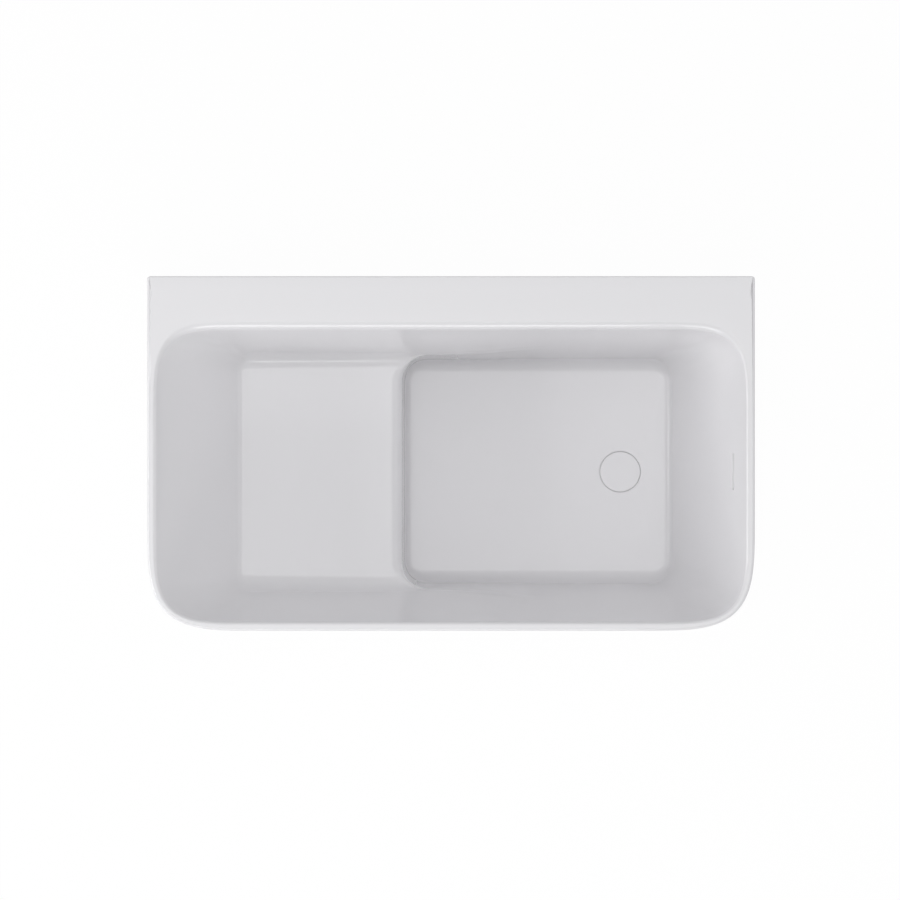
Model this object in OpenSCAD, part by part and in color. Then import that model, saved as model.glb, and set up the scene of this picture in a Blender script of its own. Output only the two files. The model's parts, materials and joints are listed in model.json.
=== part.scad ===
// Compact deep soaking bath with a moulded seat, a deck along the wall and a rounded free front.
// Origin: middle of the footprint, on the floor. X runs along the wall, +Y points to the wall, +Z up.
// The seat is at the -X end, the waste and the overflow slot are at the +X end.

/* [Tub outline] */
// Length along the wall
tub_l = 1200; // [1150:10:1400]
// Depth from the wall to the front rim
tub_w = 700; // [680:10:780]
// Height of the rim above the floor
tub_h = 650; // [630:10:720]
// Thickness of the moulded shell
shell_t = 6; // [5:0.5:8]
// Size of the two rounded front corners
front_corner = 233; // [150:1:260]
// Squareness of the rim corners, where 2 is a circle
corner_power = 4; // [3:0.1:5]
// Radius of the two back corners at the wall
back_corner = 6; // [3:1:20]

/* [Rim and deck] */
// Width of the rim at the two ends
rim_end = 16; // [14:1:40]
// Width of the rim at the front
rim_front = 16.5; // [14:0.5:40]
// Width of the deck along the wall
deck_w = 103; // [90:1:130]
// Size of the front corners of the opening
opening_front_corner = 188; // [120:1:200]
// Size of the back corners of the opening
opening_back_corner = 172; // [120:1:200]
// Rounding of the inner edge of the rim
rim_round = 5; // [3:0.5:6]
// Rounding of the inner edge of the deck
deck_round = 14; // [6:1:24]
// Rounding of the outer edge of the rim
outer_round = 5; // [3:0.5:6]
// Rounding of the edge against the wall
wall_edge = 2; // [1:0.5:4]
// Height of the turned-down lip
lip_h = 35; // [25:1:60]
// Thickness of the lip
lip_t = 4; // [3:0.5:5]

/* [Inside of the bath] */
// Height of the edge of the footwell's floor above the ground
floor_h = 140; // [135:5:180]
// How far the backrest leans in, from the rim to the seat
backrest_run = 174; // [140:1:200]
// How far the drain end leans in, from the rim to the floor
end_run = 150; // [110:1:180]
// How far the back wall leans in, from the rim to the floor
back_run = 68; // [50:1:80]
// How far the front wall leans in, from the rim to the floor
front_run = 84; // [60:1:100]
// Virtual corner size of the footwell at its floor
floor_corner = 45; // [35:1:60]
// Fillet between the footwell's walls and its floor
floor_fillet = 16; // [12:1:24]
// Fall of the footwell's floor to the waste
floor_fall = 5; // [3:0.5:8]

/* [Seat] */
// Depth from the rim to the seat's front edge
seat_depth = 300; // [260:5:330]
// Rise of the seat from its front edge to its rear, so that it drains
seat_fall = 3; // [1:0.5:6]
// Distance of the seat's front face from the end of the bath
seat_reach = 503; // [460:1:540]
// Rounding of the seat's front edge
seat_edge = 18; // [12:1:24]
// Cove between the seat and the side walls at the rear
cove_rear = 44; // [30:1:50]
// Cove between the seat and the side walls at the front edge
cove_front = 38; // [30:1:50]
// Fillet between the seat and the backrest
seat_fillet = 8; // [6:1:14]

/* [Waste and overflow] */
// Distance of the waste from the drain end of the bath
waste_end = 266; // [250:1:290]
// Position of the waste across the bath
waste_y = -36; // [-80:1:0]
// Diameter of the colour-matched cover
cover_d = 80; // [70:1:84]
// Gap all round the cover
cover_gap = 1.2; // [1:0.1:3]
// Travel of the cover from shut to open
cover_travel = 9; // [6:1:10]
// Length of the overflow slot
slot_l = 73; // [60:1:90]
// Height of the overflow slot
slot_h = 7; // [5:0.5:9]
// Depth of the slot below the rim
slot_drop = 92; // [85:1:110]

// Diameter of the waste hole
waste_hole = 54; // [52:1:58]
// Bore of the waste
waste_bore = 44; // [40:1:46]
// Outer diameter of the waste's tail
waste_tail = 50; // [48:1:52]
// Outside diameter of the overflow hose
hose_d = 36; // [32:1:40]
// Bore of the overflow hose
hose_bore = 30; // [26:1:32]
// Diameter of the waste pipe that the trap takes
pipe_d = 40; // [32:1:40]

/* [Apron] */
// Thickness of the apron
apron_t = 5; // [4:0.5:6]
// How far the apron leans in at its foot
apron_taper = 22; // [10:1:30]
// Shadow step between the lip and the apron
apron_step = 0.8; // [0.5:0.1:2]
// Gap under the apron
apron_gap = 6; // [4:1:12]
// Width of the returns at the wall
return_w = 25; // [15:1:35]

/* [Frame and feet] */
// Side of the square steel tube
tube_w = 30; // [25:1:35]
// Wall of the square steel tube
tube_t = 2; // [1.5:0.5:3]
// Distance of the back rail from the middle
rail_back = 120; // [100:1:135]
// Distance of the front rail from the middle
rail_front = 190; // [170:1:205]
// Gap between the ends of the rails and the apron
rail_gap = 24; // [20:1:40]
// Thickness of the board under the footwell
board_t = 12; // [9:1:18]
// Thickness of the board under the seat
seat_board_t = 12; // [9:1:18]
// Thread diameter of the feet
foot_d = 12; // [10:1:14]
// Travel of each foot up and down for levelling
foot_travel = 10; // [5:1:15]
// Diameter of the feet's pads
pad_d = 50; // [40:1:60]
// Height of the feet's pads
pad_h = 14; // [10:1:18]

/* [Fixing to the wall] */
// Width of the timber under the deck
batten_w = 40; // [30:1:50]
// Thickness of the timber under the deck
batten_t = 25; // [18:1:32]
// Distance of the two clips from the middle
clip_x = 380; // [300:10:450]
// Height of the clips
clip_h = 60; // [45:1:80]
// Width of the clips
clip_w = 50; // [40:1:70]
// Diameter of the holes for the wall screws
wall_hole = 6.5; // [5:0.5:8]

/* [Hidden] */
white = [0.86, 0.86, 0.87];
steel = [0.62, 0.64, 0.66];
brass = [0.78, 0.66, 0.38];
black = [0.13, 0.13, 0.14];
plastic = [0.90, 0.91, 0.92];
timber = [0.76, 0.62, 0.42];
round_fn = 64;

// Heights
rim_z = tub_h;
seat_z = tub_h - seat_depth;
floor_z = floor_h;
bath_depth = rim_z - floor_z;
lip_z = rim_z - lip_h;

// Straight sides of the opening at the rim
open_left = -tub_l / 2 + rim_end;
open_right = tub_l / 2 - rim_end;
open_front = -tub_w / 2 + rim_front;
open_back = tub_w / 2 - deck_w;

// Places along the bath
riser_x = -tub_l / 2 + seat_reach;
waste_x = tub_l / 2 - waste_end;

// Straight sides where the walls would meet the floor
floor_left = riser_x + 3;
floor_right = open_right - end_run;
floor_front = open_front + front_run;
floor_back = open_back - back_run;

// The same walls at the level of the seat
seat_share = seat_depth / bath_depth;
seat_left = open_left + backrest_run - seat_fillet;
seat_back = open_back - back_run * seat_share;
seat_front = open_front + front_run * seat_share;

// Every ring round the bath has the same points in the same order: the back left corner, the
// back side, the back right corner, the right side, the front right corner, the front side,
// the front left corner and the left side.
corner_steps = 10;
round_steps = 4;
arc_reach = 60;
arc_end = riser_x + arc_reach;
fade_x = [for (d = [-300, -200, -105, -80, -55, -30]) arc_end + d];
wall_reach = floor_right - floor_corner - arc_end;
wall_x = [for (share = [0, 0.19, 0.47, 0.74]) arc_end + wall_reach * share];
along = concat(fade_x, wall_x);
across = [-100, waste_y, 60];
arc_steps = corner_steps + 1 + len(fade_x);

function backwards(list) = [for (i = [len(list) - 1 : -1 : 0]) list[i]];
function mix(a, b, s) = a + (b - a) * s;
function mix_rings(a, b, s) = [for (i = [0 : len(a) - 1]) mix(a[i], b[i], s)];
function ease(s) = s <= 0 ? 0 : s >= 1 ? 1 : (1 - cos(180 * s)) / 2;

// One point of a rounded corner, k steps of n from the end side towards the long side
function corner_point(centre, side, size, power, k, n) =
    [centre.x + side.x * size * pow(cos(90 * k / n), 2 / power),
     centre.y + side.y * size * pow(sin(90 * k / n), 2 / power)];
function corner(x, y, side, size, power, n, last) =
    [for (k = [0 : last])
        corner_point([x - side.x * size, y - side.y * size], side, size, power, k, n)];

// Closed outline with four sides: sizes and powers are for the back and the front corners
function outline(left, right, front, back, sizes, powers) = concat(
    corner(left, back, [-1, 1], sizes[0], powers[0], corner_steps, corner_steps),
    [for (x = along) [x, back]],
    backwards(corner(right, back, [1, 1], sizes[1], powers[1], corner_steps, corner_steps)),
    [for (y = backwards(across)) [right, y]],
    corner(right, front, [1, -1], sizes[2], powers[2], corner_steps, corner_steps),
    [for (x = backwards(along)) [x, front]],
    backwards(corner(left, front, [-1, -1], sizes[3], powers[3], corner_steps, corner_steps)),
    [for (y = across) [left, y]]);

// The footwell's outline: its left corners also hold the points that lie beside the seat above
function well_outline(left, right, front, back, left_power, right_size, right_power) = concat(
    corner(left, back, [-1, 1], arc_end - left, left_power, arc_steps, arc_steps - 1),
    [for (x = wall_x) [x, back]],
    backwards(corner(right, back, [1, 1], right_size, right_power, corner_steps, corner_steps)),
    [for (y = backwards(across)) [right, y]],
    corner(right, front, [1, -1], right_size, right_power, corner_steps, corner_steps),
    [for (x = backwards(wall_x)) [x, front]],
    backwards(corner(left, front, [-1, -1], arc_end - left, left_power, arc_steps, arc_steps - 1)),
    [for (y = across) [left, y]]);

// A value for every point of a ring, from the values at the four sides and along the walls
function spread(left, back_right, along_values) = concat(
    [for (k = [0 : corner_steps]) mix(left, along_values[0], ease(k / corner_steps))],
    along_values,
    [for (k = [0 : 2 * corner_steps + 1 + len(across)]) back_right],
    backwards(along_values),
    [for (k = [corner_steps : -1 : 0]) mix(left, along_values[0], ease(k / corner_steps))],
    [for (y = across) left]);

// Directions that point away from the water at every point of a ring
function turn(side, power, k, n) =
    let(reach = 2 * (power - 1) / power, v = [pow(cos(90 * k / n), reach), pow(sin(90 * k / n), reach)])
    [side.x * v.x, side.y * v.y] / norm(v);
function directions(back_power, front_power) = concat(
    [for (k = [0 : corner_steps]) turn([-1, 1], back_power, k, corner_steps)],
    [for (x = along) [0, 1]],
    [for (k = [corner_steps : -1 : 0]) turn([1, 1], back_power, k, corner_steps)],
    [for (y = across) [1, 0]],
    [for (k = [0 : corner_steps]) turn([1, -1], front_power, k, corner_steps)],
    [for (x = along) [0, -1]],
    [for (k = [corner_steps : -1 : 0]) turn([-1, -1], front_power, k, corner_steps)],
    [for (y = across) [-1, 0]]);
opening_out = directions(corner_power, corner_power);
outer_out = directions(2, corner_power);
upper_out = directions(2, 2);
well_out = concat(
    [for (k = [0 : arc_steps - 1]) turn([-1, 1], 2, k, arc_steps)],
    [for (x = wall_x) [0, 1]],
    [for (k = [corner_steps : -1 : 0]) turn([1, 1], 2, k, corner_steps)],
    [for (y = across) [1, 0]],
    [for (k = [0 : corner_steps]) turn([1, -1], 2, k, corner_steps)],
    [for (x = wall_x) [0, -1]],
    [for (k = [arc_steps - 1 : -1 : 0]) turn([-1, -1], 2, k, arc_steps)],
    [for (y = across) [-1, 0]]);
ring_points = len(upper_out);

// How much of the cove there is along the side walls: all of it beside the seat, none past it
function cove_size(x) = mix(cove_front, cove_rear, min(1, max(0, (riser_x - x) / (riser_x - seat_left))));
function cove_left(x) = 1 - ease((x - riser_x + 45) / 75);
cove_height = spread(seat_fillet, cove_front, [for (x = along) cove_size(x)]);
cove_share = spread(1, 0, [for (x = along) cove_left(x)]);
// How much of the seat's front edge there is: all along the riser, none on the walls
edge_share = concat(
    [for (k = [0 : arc_steps - 1]) 1 - ease((k / arc_steps - 0.55) / 0.45)],
    [for (k = [0 : 2 * len(wall_x) + 2 * corner_steps + 1 + len(across)]) 0],
    [for (k = [arc_steps - 1 : -1 : 0]) 1 - ease((k / arc_steps - 0.55) / 0.45)],
    [for (y = across) 1]);
seat_rise = spread(seat_fall, 0, [for (x = along)
    seat_fall * max(0, (riser_x - seat_edge - x) / (riser_x - seat_edge - seat_left))]);

// The flat plan outlines that the walls run between
opening = outline(open_left, open_right, open_front, open_back,
    [opening_back_corner, opening_back_corner, opening_front_corner, opening_front_corner],
    [corner_power, corner_power, corner_power, corner_power]);
well_floor = well_outline(floor_left, floor_right, floor_front, floor_back, 2.7, floor_corner, 2);
well_top_left = well_outline(riser_x, floor_right, seat_front, seat_back, 2.3, floor_corner, 2);
upper_seat_left = outline(seat_left, floor_right, seat_front, seat_back,
    [cove_rear + 6, 1, 1, cove_rear + 6], [2, 2, 2, 2]);
// Beside the footwell, the walls run straight on past the level of the seat
is_left = [for (i = [0 : ring_points - 1])
    i < corner_steps + 1 + len(fade_x)
    || i >= corner_steps * 3 + 3 + len(along) + len(across) + len(wall_x)];
well_top = [for (i = [0 : ring_points - 1])
    is_left[i] ? well_top_left[i] : mix(opening[i], well_floor[i], seat_share)];
upper_seat = [for (i = [0 : ring_points - 1])
    is_left[i] ? upper_seat_left[i] : well_top[i]];
seat_flat_corners = outline(seat_left + seat_fillet, floor_right, seat_front + cove_rear,
    seat_back - cove_rear, [6, 1, 1, 6], [2, 2, 2, 2]);
seat_flat = [for (i = [0 : ring_points - 1])
    i <= corner_steps || i >= ring_points - corner_steps - 1 - len(across) ? seat_flat_corners[i]
    : upper_seat[i] - upper_out[i] * cove_height[i] * cove_share[i]];
outer = outline(-tub_l / 2, tub_l / 2, -tub_w / 2, tub_w / 2,
    [back_corner, back_corner, front_corner, front_corner],
    [2, 2, corner_power, corner_power]);

// Rounding of the two edges of the rim, which is different along the wall
function by_side(all_round, at_back, out) = [for (n = out)
    mix(all_round, at_back, n.y > 0 ? n.y * n.y : 0)];
inner_edge = by_side(rim_round, deck_round, opening_out);
outer_edge = by_side(outer_round, wall_edge, outer_out);

// Rings in space. Each one gives [x, y, z] of the water side, or of the underside where
// thick is the shell's thickness.
indices = [0 : ring_points - 1];
angles = [for (k = [0 : round_steps]) 90 * k / round_steps];
function upper_wall(i, z) = mix(opening[i], upper_seat[i], (rim_z - z) / seat_depth);
function well_wall(i, z) = mix(well_top[i], well_floor[i], (seat_z - z) / (seat_z - floor_z));
function lay(p, z, out, rise, thick) =
    [p.x + out.x * thick * cos(rise), p.y + out.y * thick * cos(rise), z - thick * sin(rise)];
function rim_inner_ring(a) = [for (i = indices)
    let(r = inner_edge[i], z = rim_z - r * (1 - cos(a)))
    lay(upper_wall(i, z) + opening_out[i] * r * (1 - sin(a)), z, opening_out[i], 0, 0)];
function cove_ring(a, thick) = [for (i = indices)
    let(z = seat_z + seat_rise[i] + cove_height[i] * (1 - sin(a)))
    lay(upper_wall(i, z) + (seat_flat[i] - upper_seat[i]) * (1 - cos(a)), z, upper_out[i],
        a * cove_share[i], thick)];
function edge_ring(a, thick) = [for (i = indices)
    let(z = seat_z - seat_edge * (1 - cos(a)))
    lay(well_wall(i, z) + well_out[i] * seat_edge * edge_share[i] * (1 - sin(a)), z, well_out[i],
        (90 - a) * edge_share[i], thick)];
function floor_ring(a, thick) = [for (i = indices)
    let(z = floor_z + floor_fillet * (1 - sin(a)))
    lay(well_wall(i, z) - well_out[i] * floor_fillet * (1 - cos(a)),
        z - (thick > 0 ? floor_fall * sin(a) : 0), well_out[i], a, thick)];
function outer_ring(inset, z) = [for (i = indices)
    [outer[i].x - outer_out[i].x * inset, outer[i].y - outer_out[i].y * inset, z]];
function rim_outer_ring(a) = [for (i = indices)
    let(r = outer_edge[i], p = outer[i] - outer_out[i] * r * (1 - sin(a)))
    [p.x, p.y, rim_z - r * (1 - cos(a))]];
under_rim_ring = [for (i = indices)
    lay(upper_wall(i, rim_z - shell_t), rim_z - shell_t, opening_out[i], 0, shell_t)];

// Levels from the floor of the footwell downwards
drain_z = floor_z - floor_fall;
under_z = drain_z - shell_t;
board_z = under_z - board_t;
rail_z = board_z - tube_w;
boss_d = cover_d + 2 * cover_gap + 26;
sump_d = cover_d + 2 * cover_gap;
sump_z = drain_z - 8.5;
slot_z = rim_z - slot_drop;

// Rings round the waste, with their points as evenly spaced as they can be: the sump, the hole
// and the boss below
right_middle = 2 * corner_steps + len(along) + 3;
function waste_ring(d, z) = [for (i = indices)
    let(a = 360 * (right_middle - i) / ring_points)
    [waste_x + d / 2 * cos(a), waste_y + d / 2 * sin(a), z]];

// Inner shell of the bath: deck, rim, backrest, seat and footwell in one moulding. Its rings run
// up the underside, over the rim, down the water side and back through the waste hole.
module basin_shell() {
    under = concat(
        backwards([for (a = angles) floor_ring(a, shell_t)]),
        backwards([for (a = angles) edge_ring(a, shell_t)]),
        backwards([for (a = angles) cove_ring(a, shell_t)]),
        [under_rim_ring]);
    lip = [outer_ring(lip_t, rim_z - shell_t), outer_ring(lip_t, lip_z), outer_ring(0, lip_z)];
    top = concat(
        backwards([for (a = angles) rim_outer_ring(a)]),
        [for (a = angles) rim_inner_ring(a)],
        [for (a = angles) cove_ring(a, 0)],
        [for (a = angles) edge_ring(a, 0)],
        [for (a = angles) floor_ring(a, 0)]);
    waste = [waste_ring(sump_d + 3, drain_z), waste_ring(sump_d, drain_z - 1.5),
        waste_ring(sump_d, sump_z), waste_ring(waste_hole, sump_z), waste_ring(waste_hole, board_z),
        waste_ring(boss_d, board_z), waste_ring(boss_d, under_z)];
    closed_body(concat(under, lip, top, waste));
}
module closed_body(rings) {
    n = len(rings[0]);
    count = len(rings);
    function at(j, i) = (j % count) * n + (i % n);
    polyhedron(
        points = [for (r = rings, p = r) p],
        faces = concat(
            [for (j = [0 : count - 1], i = [0 : n - 1]) [at(j, i), at(j + 1, i + 1), at(j, i + 1)]],
            [for (j = [0 : count - 1], i = [0 : n - 1]) [at(j, i), at(j + 1, i), at(j + 1, i + 1)]]));
}
module basin() {
    color(white)
    difference() {
        basin_shell();
        translate([end_x(slot_z) - 12, waste_y, slot_z])
        slot_bar(slot_l, slot_h, 30);
    }
}

// Inner face of the drain end at a height
function end_x(z) = open_right - end_run * (rim_z - z) / bath_depth;

// Bar with round ends, lying across the bath, that cuts a slot along X
module slot_bar(length, height, reach) {
    rotate([90, 0, 90])
    linear_extrude(reach)
    union() {
        square([length - height, height], center = true);
        for (side = [-1, 1])
            translate([side * (length - height) / 2, 0])
            circle(d = height, $fn = 32);
    }
}

// Half of the apron's plan, from the wall round the front corner, inset from the rim's edge
apron_top = lip_z;
function apron_x(inset) = tub_l / 2 - inset;
function apron_path(inset, t) =
    let(x = apron_x(inset), front = -tub_w / 2 + inset, back = tub_w / 2)
    concat(
        [[x - return_w, back - t], [x - t, back - t]],
        [for (k = [0 : 2 * corner_steps])
            let(p = corner_point([x - front_corner, front + front_corner], [1, -1], front_corner,
                    corner_power, k, 2 * corner_steps),
                n = turn([1, -1], corner_power, k, 2 * corner_steps))
            p - n * t]);
function apron_line(inset, t) =
    let(half = apron_path(inset, t))
    concat(half, [for (p = backwards(half)) [-p.x, p.y]]);
function raise(path, z) = [for (p = path) [p.x, p.y, z]];

// Outer shell: the two ends and the front in one moulding, open to the wall
module apron() {
    low = apron_step + apron_taper;
    lines = [raise(apron_line(apron_step, 0), apron_top), raise(apron_line(low, 0), apron_gap),
        raise(apron_line(low, apron_t), apron_gap), raise(apron_line(apron_step, apron_t), apron_top)];
    n = len(lines[0]);
    function at(j, i) = (j % 4) * n + i;
    color(white)
    polyhedron(
        points = [for (line = lines, p = line) p],
        faces = concat(
            [for (j = [0 : 3], i = [0 : n - 2]) [at(j, i), at(j, i + 1), at(j + 1, i)]],
            [for (j = [0 : 3], i = [0 : n - 2]) [at(j, i + 1), at(j + 1, i + 1), at(j + 1, i)]],
            [[at(0, 0), at(1, 0), at(2, 0)], [at(0, 0), at(2, 0), at(3, 0)]],
            [[at(0, n - 1), at(2, n - 1), at(1, n - 1)], [at(0, n - 1), at(3, n - 1), at(2, n - 1)]]));
}
function apron_inset(z) = apron_step + apron_taper * (apron_top - z) / (apron_top - apron_gap);

// Board that stiffens the footwell's floor, bonded to its flat underside
module base_board() {
    edge = floor_fillet + 8;
    length = floor_right - floor_left - 2 * edge;
    width = floor_back - floor_front - 2 * edge;
    color(timber)
    difference() {
        translate([floor_left + edge, floor_front + edge, board_z])
        cube([length, width, board_t]);
        translate([waste_x, waste_y, board_z - 1])
        cylinder(h = board_t + 2, d = boss_d + 2, $fn = round_fn);
    }
}

// Board under the seat, cut to the seat's fall
seat_under = seat_z - shell_t - 0.3;
board_front = riser_x - seat_edge - 12;
board_rear = seat_left + seat_fillet + 24;
function seat_under_z(x) = seat_under
    + seat_fall * (riser_x - seat_edge - x) / (riser_x - seat_edge - seat_left);
module seat_board() {
    low = seat_under - seat_board_t;
    color(timber)
    translate([0, -rail_front - tube_w / 2, 0])
    mirror([0, 1, 0])
    rotate([90, 0, 0])
    linear_extrude(rail_front + rail_back + tube_w)
    polygon([[board_rear, low], [board_front, low], [board_front, seat_under_z(board_front)],
        [board_rear, seat_under_z(board_rear)]]);
}

// Square steel tube of a length along X, Y or Z, starting at the origin's corner
module tube(size) {
    open_along = [for (s = size) s == tube_w ? tube_t : -1];
    difference() {
        cube(size);
        translate(open_along)
        cube(size - 2 * open_along);
    }
}

// Two long rails under the bath, with the holes for the feet
rail_half = apron_x(apron_inset(rail_z)) - apron_t - rail_gap;
rail_ys = [-rail_front, rail_back];
foot_x = rail_half - 2 * tube_w - 10;
middle_x = (floor_left + waste_x) / 2 - 20;
feet = [[-foot_x, -rail_front], [foot_x, -rail_front], [foot_x, rail_back], [-foot_x, rail_back],
    [middle_x, (rail_back - rail_front) / 2]];
module foot_holes() {
    for (f = feet)
        translate([f.x, f.y, rail_z - 1])
        cylinder(h = tube_t + 2, d = foot_d + 0.6, $fn = round_fn);
}
module frame_rails() {
    color(steel)
    difference() {
        union() {
            for (y = rail_ys)
                translate([-rail_half, y - tube_w / 2, rail_z])
                tube([2 * rail_half, tube_w, tube_w]);
        }
        foot_holes();
    }
}

// Cross bars welded between the rails
bar_xs = [-rail_half, middle_x - tube_w / 2, rail_half - tube_w];
module cross_bars() {
    color(steel)
    difference() {
        union() {
            for (x = bar_xs)
                translate([x, -rail_front + tube_w / 2, rail_z])
                tube([tube_w, rail_back + rail_front - tube_w, tube_w]);
        }
        foot_holes();
    }
}

// Four posts between the rails and the board under the seat
module seat_posts() {
    color(steel)
    for (x = [board_rear + 10, board_front - 10 - tube_w], y = rail_ys)
        translate([x, y - tube_w / 2, board_z])
        tube([tube_w, tube_w, seat_under - seat_board_t - board_z]);
}

// Timber bonded under the back of the deck, inside the lip
batten_back = tub_w / 2 - lip_t - 2;
batten_z = rim_z - shell_t - batten_t;
clip_t = 3;
clip_leg = batten_w + 2;
screw_d = 4.5;
screw_l = 18;
screw_head = 3;
screw_ys = [batten_back - batten_w * 0.35, batten_back - batten_w * 0.7];
spacer_d = 22;
wall_hole_z = batten_z - clip_h + 16;
module clip_places() {
    for (side = [-1, 1])
        translate([side * clip_x, 0, 0])
        children();
}
module deck_batten() {
    half = apron_x(apron_inset(batten_z)) - apron_t - 30;
    color(timber)
    difference() {
        translate([-half, batten_back - batten_w, batten_z])
        cube([2 * half, batten_w, batten_t]);
        clip_places()
        for (y = screw_ys)
            translate([0, y, batten_z - 1])
            cylinder(h = screw_l - clip_t + 2, d = screw_d, $fn = 32);
    }
}

// Steel angles that tie the timber to the wall
module wall_clips() {
    color(steel)
    clip_places()
    difference() {
        translate([-clip_w / 2, batten_back, batten_z])
        rotate([0, 90, 0])
        linear_extrude(clip_w)
        polygon([[0, -clip_leg], [0, 0], [clip_h, 0], [clip_h, -clip_t], [clip_t, -clip_t],
            [clip_t, -clip_leg]]);
        for (y = screw_ys)
            translate([0, y, batten_z - clip_t - 1])
            cylinder(h = clip_t + 2, d = screw_d + 0.5, $fn = 32);
        translate([0, batten_back + 1, wall_hole_z])
        rotate([90, 0, 0])
        cylinder(h = clip_t + 2, d = wall_hole, $fn = 32);
    }
}

// Rings that fill the gap between the clips and the wall
module wall_spacers() {
    color(black)
    clip_places()
    translate([0, tub_w / 2, wall_hole_z])
    rotate([90, 0, 0])
    difference() {
        cylinder(h = tub_w / 2 - batten_back, d = spacer_d, $fn = round_fn);
        translate([0, 0, -1])
        cylinder(h = tub_w / 2 - batten_back + 2, d = wall_hole, $fn = 32);
    }
}

// Wood screws that hold the clips under the timber
module clip_screws() {
    color(steel)
    clip_places()
    for (y = screw_ys)
        translate([0, y, 0]) {
            translate([0, 0, batten_z - clip_t])
            cylinder(h = screw_l, d = screw_d, $fn = 32);
            translate([0, 0, batten_z - clip_t - screw_head])
            cylinder(h = screw_head, d1 = screw_d + 1, d2 = 2 * screw_d, $fn = 32);
        }
}

// Angles that hold the foot of the apron to the frame: one at each end, two at the front
bracket_t = 3;
bracket_w = 40;
bracket_h = 38;
module bracket(reach) {
    rotate([90, 0, 90])
    translate([0, 0, -bracket_w / 2])
    linear_extrude(bracket_w)
    polygon([[-tube_w, 0], [reach, 0], [reach, -bracket_h], [reach - bracket_t, -bracket_h],
        [reach - bracket_t, -bracket_t], [-tube_w, -bracket_t]]);
}
module apron_brackets() {
    z = rail_z;
    inner = apron_inset(z - bracket_h) + apron_t + 0.3;
    mid_y = (rail_back - rail_front) / 2;
    color(steel) {
        for (side = [-1, 1])
            translate([side * rail_half, mid_y, z])
            rotate([0, 0, -90 * side])
            bracket(tub_l / 2 - inner - rail_half);
        for (x = [-tub_l / 4, tub_l / 4])
            translate([x, -rail_front - tube_w / 2, z])
            rotate([0, 0, 180])
            bracket(tub_w / 2 - inner - rail_front - tube_w / 2);
    }
}

// Six-sided nut with a round hole
module nut(across, height, hole) {
    difference() {
        cylinder(h = height, d = across / cos(30), $fn = 6);
        translate([0, 0, -1])
        cylinder(h = height + 2, d = hole, $fn = round_fn);
    }
}

// Levelling feet: nuts welded inside the tubes, lock nuts below them, studs and pads
nut_across = foot_d * 1.5;
nut_h = foot_d * 0.8;
module foot_places() {
    for (f = feet)
        translate([f.x, f.y, 0])
        children();
}
module frame_nuts() {
    color(steel)
    foot_places()
    translate([0, 0, rail_z + tube_t])
    nut(nut_across, nut_h, foot_d + 0.1);
}
module lock_nuts() {
    color(steel)
    foot_places()
    translate([0, 0, rail_z - nut_h])
    nut(nut_across, nut_h, foot_d + 0.1);
}
module foot_stem(f) {
    top = rail_z + tube_w - tube_t - foot_travel - 2;
    color(steel)
    translate([f.x, f.y, pad_h - 5]) {
        cylinder(h = top - pad_h + 5 - 1, d = foot_d, $fn = round_fn);
        translate([0, 0, top - pad_h + 5 - 1])
        cylinder(h = 1, d1 = foot_d, d2 = foot_d - 2, $fn = round_fn);
    }
}
module foot_pad(f) {
    color(black)
    translate([f.x, f.y, 0])
    rotate_extrude($fn = round_fn)
    polygon([[0, 0], [pad_d / 2 - 1, 0], [pad_d / 2, 1], [pad_d / 2, 4], [foot_d / 2 + 6, pad_h],
        [foot_d / 2, pad_h], [foot_d / 2, pad_h - 5], [0, pad_h - 5]]);
}

// A ring of four radii and heights, turned about the waste's axis
module waste_turn() {
    translate([waste_x, waste_y, 0])
    rotate_extrude($fn = round_fn)
    children();
}
module band(inner_d, outer_d, low, high) {
    translate([inner_d / 2, low])
    square([(outer_d - inner_d) / 2, high - low]);
}

// Levels of the waste, from the sump in the floor down to the trap
seal_t = 1.5;
flange_z = sump_z + seal_t;
flange_t = 2.2;
gasket_t = 3;
body_z = board_z - gasket_t;
body_h = 48;
tail_z = body_z - body_h;
side_z = body_z - 26;
trap_top = tail_z - 2;
trap_low = 8;
stem_d = 8;
guide_d = 16;
guide_low = body_z - 24;
side_reach = 62;

// Waste: flange with a tail below it, and three arms inside that carry the cartridge's hub
module waste_flange() {
    color(steel)
    difference() {
        union() {
            waste_turn() {
                band(waste_bore, sump_d - 5, flange_z, flange_z + flange_t);
                band(waste_bore, waste_tail, body_z - 16, flange_z + 1);
                band(0, guide_d + 6, body_z + 4, body_z + 12);
            }
            for (turn_by = [30, 150, 270])
                translate([waste_x, waste_y, body_z + 5])
                rotate([0, 0, turn_by])
                translate([guide_d / 2 + 1, -1.5, 0])
                cube([(waste_bore - guide_d) / 2, 3, 6]);
        }
        translate([waste_x, waste_y, body_z])
        cylinder(h = 20, d = guide_d, $fn = round_fn);
    }
}
module flange_seal() {
    color(black)
    waste_turn()
    band(waste_hole + 1, sump_d - 7, sump_z, flange_z);
}
module body_gasket() {
    color(black)
    waste_turn()
    band(waste_hole, waste_hole + 26, body_z, board_z);
}

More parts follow.
